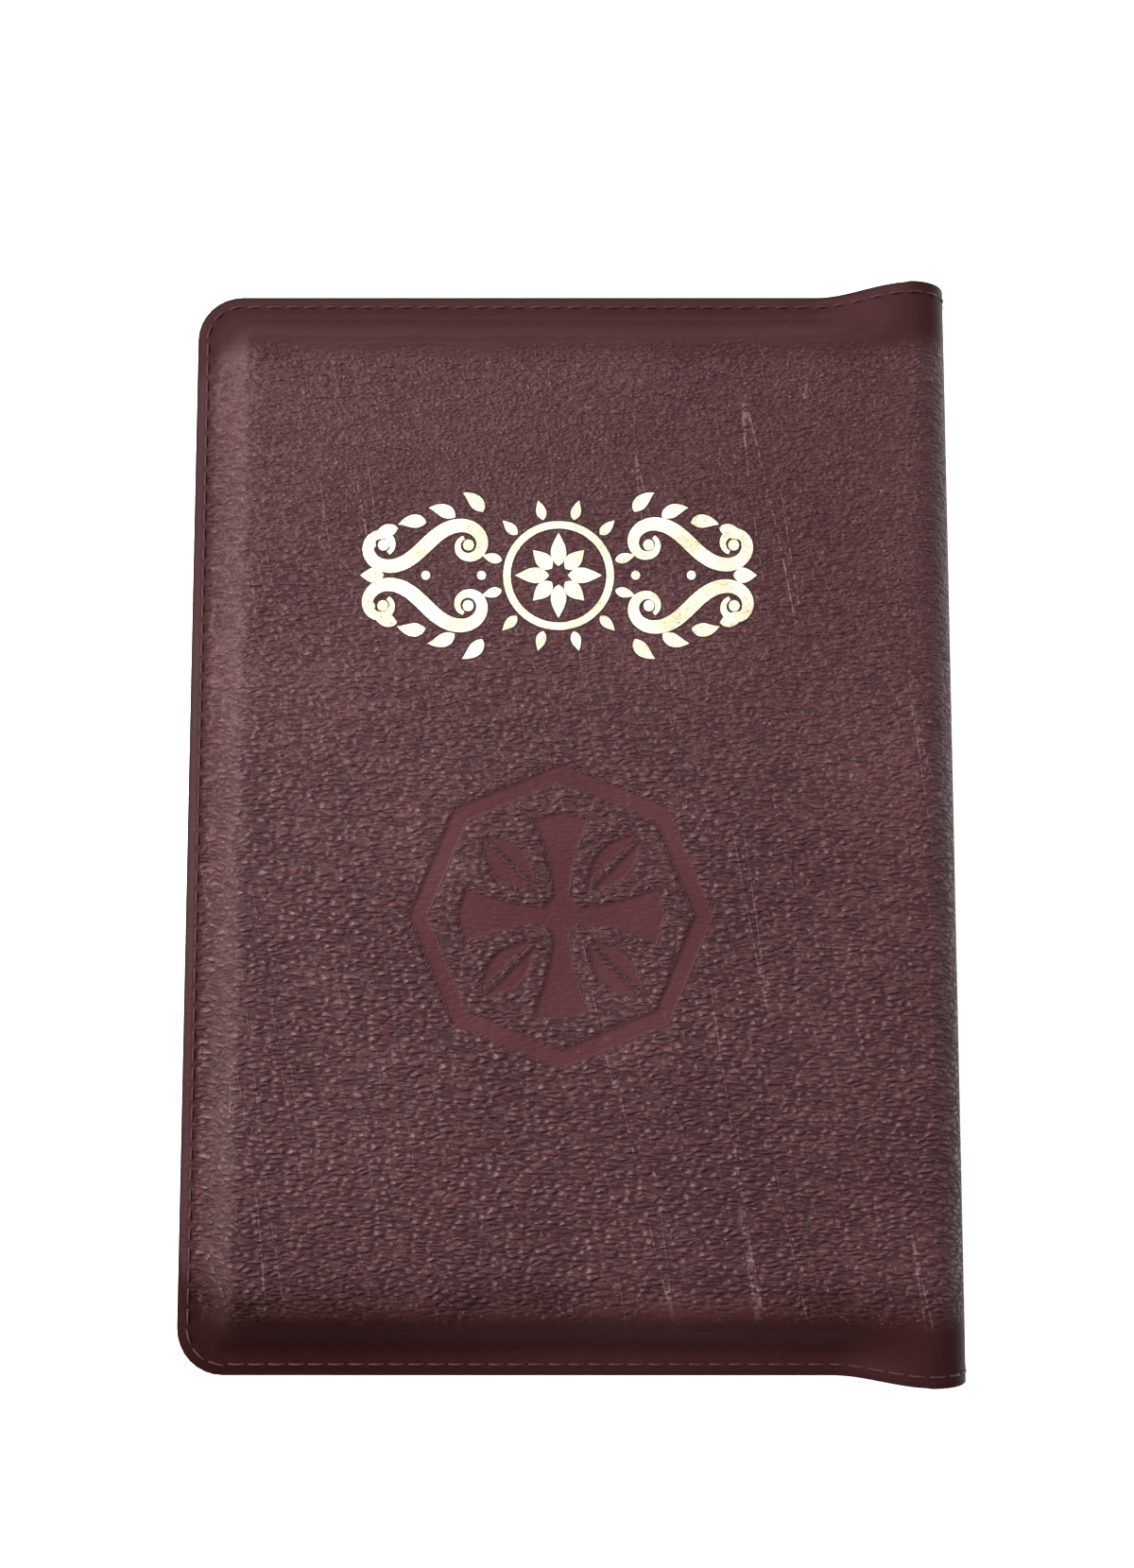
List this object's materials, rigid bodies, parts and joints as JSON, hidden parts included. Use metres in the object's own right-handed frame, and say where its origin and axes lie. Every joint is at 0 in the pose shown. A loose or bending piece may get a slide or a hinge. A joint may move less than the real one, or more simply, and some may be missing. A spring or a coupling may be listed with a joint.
{
  "type": "prayer book",
  "caption": "Limp leather prayer book with a dished cover stitched round its lip, sewn text block, zip round three sides and a spine on the right",
  "frame": {"origin": "centre of the overall box in X and Y, on the back cover's underside", "axes": "+X toward the spine, +Y toward the head of the book, +Z out of the front cover"},
  "size_m": [0.1523, 0.2164, 0.0356],
  "materials": {
    "cover_leather": "burgundy pebbled leather, satin",
    "gold_foil": "pale gold stamping foil",
    "thread": "dark red waxed thread",
    "card": "grey card",
    "lining_paper": "cream endpaper",
    "page_paper": "thin cream book paper with gilt edges",
    "kraft": "brown kraft paper",
    "mull": "open cotton scrim",
    "linen": "linen tape and thread",
    "band_cotton": "woven cotton in two colours",
    "zip_tape": "woven polyester tape",
    "zip_coil": "moulded nylon coil",
    "zip_metal": "plated zinc, antique brass colour"
  },
  "bodies": {
    "block": {"spine_leather": "cover_leather", "spine_stiffener": "card", "spine_kraft": "kraft", "spine_mull": "mull", "sewing_tapes": "linen", "sewing_thread": "linen", "head_band": "band_cotton", "tail_band": "band_cotton", "spine_gold_rules": "gold_foil", "spine_stitching": "thread", "section_01": "page_paper", "section_02": "page_paper", "section_03": "page_paper", "section_04": "page_paper", "section_05": "page_paper", "section_06": "page_paper", "section_07": "page_paper", "section_08": "page_paper", "section_09": "page_paper", "section_10": "page_paper"},
    "front_cover": {"front_leather": "cover_leather", "front_gold_ornament": "gold_foil", "front_board": "card", "front_pastedown": "lining_paper", "front_stitching": "thread", "front_zip_tape": "zip_tape", "front_zip_coil": "zip_coil", "front_zip_stops": "zip_metal"},
    "back_cover": {"back_leather": "cover_leather", "back_board": "card", "back_pastedown": "lining_paper", "back_stitching": "thread", "back_zip_tape": "zip_tape", "back_zip_coil": "zip_coil", "back_zip_stops": "zip_metal"},
    "slider": {"zip_slider": "zip_metal", "zip_crown": "zip_metal"},
    "pull": {"zip_pull": "zip_metal"},
    "front_leaves_1": {"front_leaves_1": "page_paper"},
    "front_leaves_2": {"front_leaves_2": "page_paper"},
    "front_leaves_3": {"front_leaves_3": "page_paper"},
    "front_leaves_4": {"front_leaves_4": "page_paper"},
    "front_leaves_5": {"front_leaves_5": "page_paper"},
    "front_flyleaf": {"front_flyleaf": "lining_paper"},
    "rear_leaves_1": {"rear_leaves_1": "page_paper"},
    "rear_leaves_2": {"rear_leaves_2": "page_paper"},
    "rear_leaves_3": {"rear_leaves_3": "page_paper"},
    "rear_flyleaf": {"rear_flyleaf": "lining_paper"}
  },
  "joints": [
    {"name": "front_cover_hinge", "type": "hinge", "parent": "block", "child": "front_cover", "pos_m": [0.07615, 0, 0.027], "axis": [0, 1, 0], "range_deg": [0, 180]},
    {"name": "back_cover_hinge", "type": "hinge", "parent": "block", "child": "back_cover", "pos_m": [0.07615, 0, 0.008], "axis": [0, -1, 0], "range_deg": [0, 180]},
    {"name": "slider_run", "type": "slide", "parent": "back_cover", "child": "slider", "axis": [-1, 0, 0], "range_m": [0, 0.092]},
    {"name": "pull_swing", "type": "hinge", "parent": "slider", "child": "pull", "pos_m": [0.0405, -0.10694, 0.0175], "axis": [0, 0, 1], "range_deg": [0, 180]},
    {"name": "front_leaves_1_turn", "type": "hinge", "parent": "block", "child": "front_leaves_1", "pos_m": [0.07615, 0, 0.027], "axis": [0, 1, 0], "range_deg": [0, 112.1]},
    {"name": "front_leaves_2_turn", "type": "hinge", "parent": "block", "child": "front_leaves_2", "pos_m": [0.07615, 0, 0.027], "axis": [0, 1, 0], "range_deg": [0, 130.1]},
    {"name": "front_leaves_3_turn", "type": "hinge", "parent": "block", "child": "front_leaves_3", "pos_m": [0.07615, 0, 0.027], "axis": [0, 1, 0], "range_deg": [0, 146.3]},
    {"name": "front_leaves_4_turn", "type": "hinge", "parent": "block", "child": "front_leaves_4", "pos_m": [0.07615, 0, 0.027], "axis": [0, 1, 0], "range_deg": [0, 158.9]},
    {"name": "front_leaves_5_turn", "type": "hinge", "parent": "block", "child": "front_leaves_5", "pos_m": [0.07615, 0, 0.027], "axis": [0, 1, 0], "range_deg": [0, 169.7]},
    {"name": "front_flyleaf_turn", "type": "hinge", "parent": "block", "child": "front_flyleaf", "pos_m": [0.07615, 0, 0.027], "axis": [0, 1, 0], "range_deg": [0, 176.9]},
    {"name": "rear_leaves_1_turn", "type": "hinge", "parent": "block", "child": "rear_leaves_1", "pos_m": [0.07615, 0, 0.008], "axis": [0, -1, 0], "range_deg": [0, 130.1]},
    {"name": "rear_leaves_2_turn", "type": "hinge", "parent": "block", "child": "rear_leaves_2", "pos_m": [0.07615, 0, 0.008], "axis": [0, -1, 0], "range_deg": [0, 151.7]},
    {"name": "rear_leaves_3_turn", "type": "hinge", "parent": "block", "child": "rear_leaves_3", "pos_m": [0.07615, 0, 0.008], "axis": [0, -1, 0], "range_deg": [0, 167.9]},
    {"name": "rear_flyleaf_turn", "type": "hinge", "parent": "block", "child": "rear_flyleaf", "pos_m": [0.07615, 0, 0.008], "axis": [0, -1, 0], "range_deg": [0, 176.9]}
  ],
  "couplings": [
    {"joint": "front_leaves_1_turn", "follows": "front_cover_hinge", "ratio": 0.62},
    {"joint": "front_leaves_2_turn", "follows": "front_cover_hinge", "ratio": 0.72},
    {"joint": "front_leaves_3_turn", "follows": "front_cover_hinge", "ratio": 0.81},
    {"joint": "front_leaves_4_turn", "follows": "front_cover_hinge", "ratio": 0.88},
    {"joint": "front_leaves_5_turn", "follows": "front_cover_hinge", "ratio": 0.94},
    {"joint": "front_flyleaf_turn", "follows": "front_cover_hinge", "ratio": 0.98},
    {"joint": "rear_leaves_1_turn", "follows": "back_cover_hinge", "ratio": 0.72},
    {"joint": "rear_leaves_2_turn", "follows": "back_cover_hinge", "ratio": 0.84},
    {"joint": "rear_leaves_3_turn", "follows": "back_cover_hinge", "ratio": 0.93},
    {"joint": "rear_flyleaf_turn", "follows": "back_cover_hinge", "ratio": 0.98}
  ]
}
